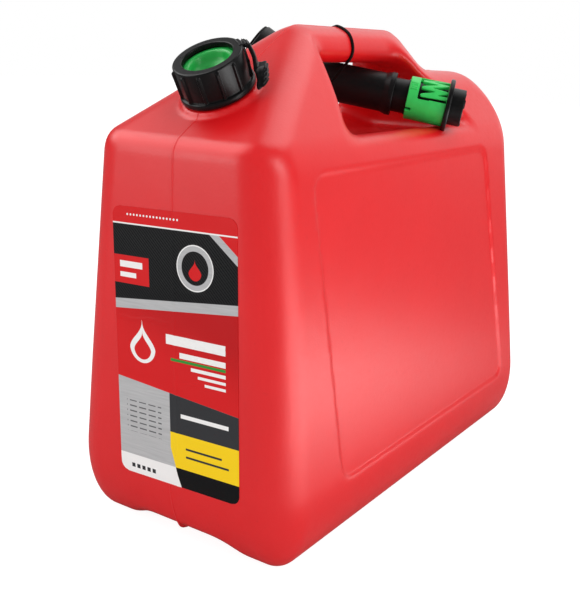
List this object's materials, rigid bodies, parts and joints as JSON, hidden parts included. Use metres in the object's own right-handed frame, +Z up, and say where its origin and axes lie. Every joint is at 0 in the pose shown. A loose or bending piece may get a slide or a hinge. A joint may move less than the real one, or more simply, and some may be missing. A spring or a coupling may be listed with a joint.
{
  "type": "fuel can",
  "caption": "Upright blow-moulded fuel can with a hollow carrying handle, a screw collar and stopper on a sloping front, and a self-closing spout stowed under the handle.",
  "frame": {"origin": "centre of the bounding box, on the floor the can stands on", "axes": "+Z up, -Y towards the sloping front with the neck and the label, +X the long side that the nozzle tip points at"},
  "size_m": [0.1998, 0.4225, 0.3757],
  "materials": {
    "tank_red": "blow-moulded polyethylene, satin with a faint orange-peel grain",
    "label": "glossy printed vinyl",
    "black": "moulded, semi-gloss",
    "green": "moulded, semi-gloss",
    "rubber": "matt elastomer",
    "steel": "drawn wire and fine mesh"
  },
  "bodies": {
    "tank": {"tank_body": "tank_red", "front_label": "label", "arrestor_cage": "black", "arrestor_screen": "steel", "retaining_band": "rubber"},
    "closure": {"stopper_disc": "green", "stopper_gasket": "rubber"},
    "collar_ring": {"collar": "black"},
    "lever": {"lock_lever": "black"},
    "spout": {"spout_body": "black", "base_seal": "rubber", "vent_tube": "black", "stem_spider": "black", "valve_stem": "black", "valve_head": "black", "valve_seal": "rubber"},
    "nozzle": {"nozzle_tube": "black", "nozzle_seal": "rubber", "return_spring": "steel", "catch_flange": "black", "nozzle_tip": "black"},
    "lock": {"lock_ring": "green"}
  },
  "joints": [
    {"name": "closure_lift", "type": "slide", "parent": "tank", "child": "closure", "axis": [0, -0.518, 0.8554], "range_m": [0, 0.012]},
    {"name": "collar_turn", "type": "hinge", "parent": "closure", "child": "collar_ring", "pos_m": [0, -0.16028, 0.32284], "axis": [0, -0.518, 0.8554], "range_deg": [0, 720.5]},
    {"name": "lever_press", "type": "hinge", "parent": "collar_ring", "child": "lever", "pos_m": [0.02494, -0.16617, 0.35201], "axis": [-0.3746, 0.7931, 0.4803], "range_deg": [0, 12], "stiffness_Nm_per_rad": 0.8},
    {"name": "spout_draw", "type": "slide", "parent": "tank", "child": "spout", "axis": [-0.8997, -0.4196, 0.1201], "range_m": [0, 0.05]},
    {"name": "nozzle_push", "type": "slide", "parent": "spout", "child": "nozzle", "axis": [-0.8949, -0.4173, 0.1582], "range_m": [0, 0.008], "stiffness_N_per_m": 1500, "springref_m": -0.004, "deforming": ["return_spring"]},
    {"name": "lock_turn", "type": "hinge", "parent": "nozzle", "child": "lock", "pos_m": [0, 0.0171, 0.3265], "axis": [0.8949, 0.4173, -0.1582], "range_deg": [0, 25], "stiffness_Nm_per_rad": 0.05, "springref_deg": -11.46}
  ],
  "couplings": [
    {"joint": "collar_turn", "follows": "closure_lift", "rad_per_m": 1047.2}
  ]
}
